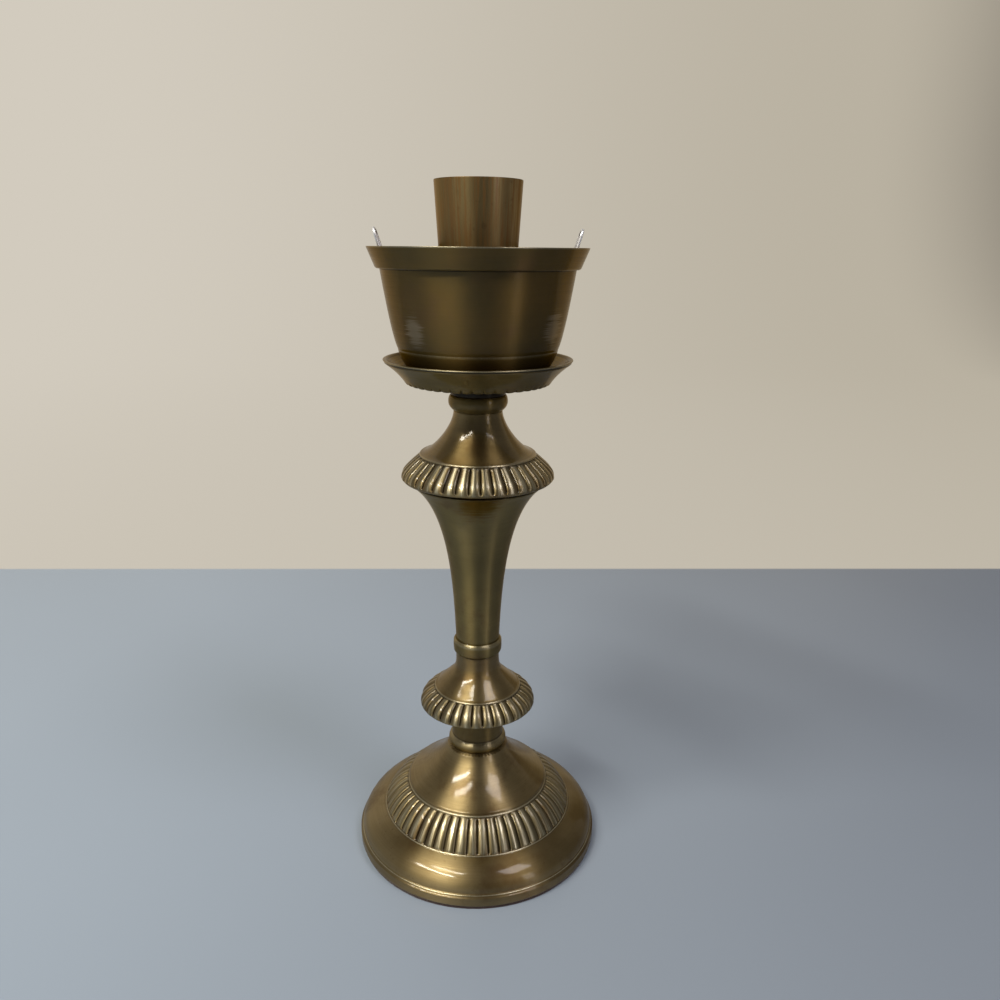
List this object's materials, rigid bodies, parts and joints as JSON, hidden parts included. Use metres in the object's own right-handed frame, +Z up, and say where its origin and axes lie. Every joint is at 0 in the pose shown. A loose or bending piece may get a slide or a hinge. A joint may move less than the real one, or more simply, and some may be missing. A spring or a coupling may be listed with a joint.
{
  "type": "hurricane candlestick",
  "caption": "Turned brass candlestick with fluted knops, a cup-shaped shade gallery with two wire springs, and a lift-out tapered candle tube.",
  "frame": {"origin": "middle of the felt's underside, on the axis that every turned piece shares", "axes": "+Z up along the axis; X through the two wire spring arms; -Y towards the viewer in the picture"},
  "size_m": [0.0826, 0.0826, 0.2178],
  "materials": {
    "aged_brass": "brushed and lacquered, aged to olive brown",
    "tube_brass": "satin, with upright brown streaks",
    "washer_brass": "dull, tarnished",
    "plain_steel": "plain zinc-grey",
    "spring_wire": "bright drawn wire",
    "felt": "dark felt with a cut edge"
  },
  "bodies": {
    "stand": {"felt_pad": "felt", "base": "aged_brass", "base_washer": "plain_steel", "base_lock_washer": "plain_steel", "base_nut": "plain_steel", "tie_rod": "plain_steel", "base_collar": "aged_brass", "lower_knop": "aged_brass", "stem_ring": "aged_brass", "stem": "aged_brass", "upper_knop": "aged_brass", "neck_bead": "aged_brass", "saucer": "aged_brass", "cup": "aged_brass", "spring_run_front": "spring_wire", "spring_run_back": "spring_wire", "clamp_washer": "washer_brass", "top_nut": "plain_steel"},
    "left_arm": {"spring_arm_left": "spring_wire"},
    "right_arm": {"spring_arm_right": "spring_wire"},
    "tube": {"candle_tube": "tube_brass"}
  },
  "joints": [
    {"name": "left_arm_squeeze", "type": "hinge", "parent": "stand", "child": "left_arm", "pos_m": [-0.0172, 0, 0.16365], "axis": [0, 1, 0], "range_deg": [0, 12], "stiffness_Nm_per_rad": 0.9, "springref_deg": -2.86},
    {"name": "right_arm_squeeze", "type": "hinge", "parent": "stand", "child": "right_arm", "pos_m": [0.0172, 0, 0.16365], "axis": [0, -1, 0], "range_deg": [0, 12], "stiffness_Nm_per_rad": 0.9, "springref_deg": -2.86},
    {"name": "tube_lift", "type": "slide", "parent": "stand", "child": "tube", "axis": [0, 0, 1], "range_m": [0, 0.045]}
  ]
}
